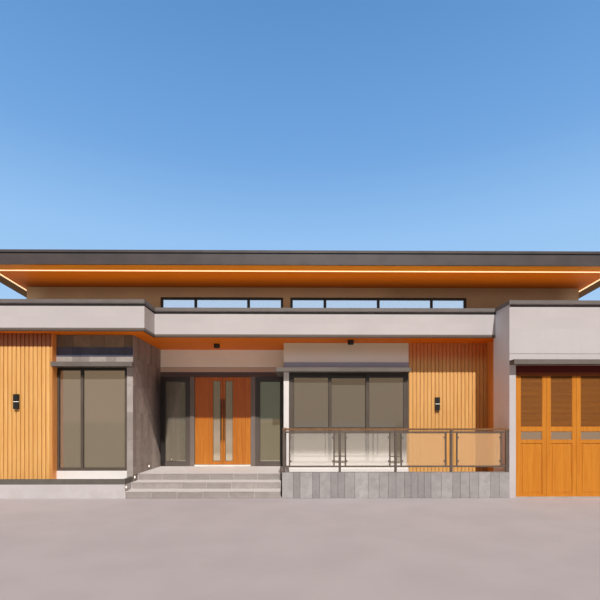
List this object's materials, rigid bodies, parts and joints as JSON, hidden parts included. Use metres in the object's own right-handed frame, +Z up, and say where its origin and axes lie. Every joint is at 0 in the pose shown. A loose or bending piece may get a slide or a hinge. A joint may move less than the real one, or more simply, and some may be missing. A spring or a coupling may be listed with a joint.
{
  "type": "modern bungalow",
  "caption": "Single-storey house with a mono-pitch roof over a clerestory, flat canopies, slatted walls, terrace and garage.",
  "frame": {"origin": "on the ground below the middle of the house's outline", "axes": "+X along the front from the slatted left bay to the garage, +Y from the front to the back, +Z up"},
  "size_m": [16.17, 12.71, 5.8],
  "materials": {
    "concrete": "smooth screed",
    "step_tile": "honed grey tile",
    "grey_stone": "cut stone slabs in mixed greys",
    "dark_stone": "dark grey coping",
    "brown_stone": "cut stone slabs",
    "pale_stone": "honed",
    "white_plaster": "fine render",
    "beige_plaster": "fine render",
    "hood_metal": "satin grey",
    "roof_metal": "satin grey",
    "dark_frame": "satin near-black",
    "grey_frame": "satin brown-grey",
    "bronze_metal": "satin bronze-grey",
    "cladding_timber": "oiled vertical slats",
    "door_timber": "lacquered boards",
    "garage_timber": "lacquered panels",
    "soffit_timber": "oiled boards",
    "clear_glass": "clear, lightly tinted",
    "light_black": "satin black",
    "light_diffuser": "warm opal"
  },
  "bodies": {
    "root": {"house_floor": "concrete", "garage_floor": "concrete", "step_lower": "step_tile", "step_upper": "step_tile", "entrance_landing": "step_tile", "terrace_base": "grey_stone", "terrace_railing": "bronze_metal", "railing_return": "bronze_metal", "railing_glass": "clear_glass", "planter_wall": "white_plaster", "planter_coping": "dark_stone", "slat_backing_walls": "white_plaster", "slat_cladding": "cladding_timber", "window_sill_walls": "white_plaster", "window_head_walls": "white_plaster", "window_hoods": "hood_metal", "window_frames": "dark_frame", "window_glass": "clear_glass", "stone_side_wall": "brown_stone", "door_threshold": "pale_stone", "entrance_frame": "grey_frame", "door_head_wall": "beige_plaster", "living_pier": "white_plaster", "slider_frame": "dark_frame", "fixed_sashes": "dark_frame", "garage_pier": "white_plaster", "garage_side_wall": "cladding_timber", "garage_head_wall": "white_plaster", "garage_frame": "garage_timber", "garage_doors": "garage_timber", "garage_panes": "clear_glass", "left_canopy": "white_plaster", "entrance_canopy": "white_plaster", "garage_roof": "white_plaster", "lower_parapet": "white_plaster", "canopy_flashings": "hood_metal", "soffit_boards": "soffit_timber", "soffit_light": "light_diffuser", "upper_wall_base": "beige_plaster", "upper_wall_piers": "beige_plaster", "upper_wall_head": "beige_plaster", "low_side_walls": "white_plaster", "side_walls": "beige_plaster", "back_wall": "beige_plaster", "roof_deck": "roof_metal", "roof_capping": "roof_metal", "outdoor_lights": "light_black"},
    "door_left": {"door_leaf_left": "door_timber", "door_glass_left": "clear_glass", "door_pull_left": "dark_frame"},
    "door_right": {"door_leaf_right": "door_timber", "door_glass_right": "clear_glass", "door_pull_right": "dark_frame"},
    "slider": {"sliding_leaf": "dark_frame", "sliding_leaf_glass": "clear_glass"}
  },
  "joints": [
    {"name": "left_door_hinge", "type": "hinge", "parent": "root", "child": "door_left", "pos_m": [-3.0005, -3.606, 0.5], "axis": [0, 0, 1], "range_deg": [0, 90]},
    {"name": "right_door_hinge", "type": "hinge", "parent": "root", "child": "door_right", "pos_m": [-1.4695, -3.606, 0.5], "axis": [0, 0, -1], "range_deg": [0, 90]},
    {"name": "slider_track", "type": "slide", "parent": "root", "child": "slider", "axis": [-1, 0, 0], "range_m": [0, 0.9]}
  ]
}
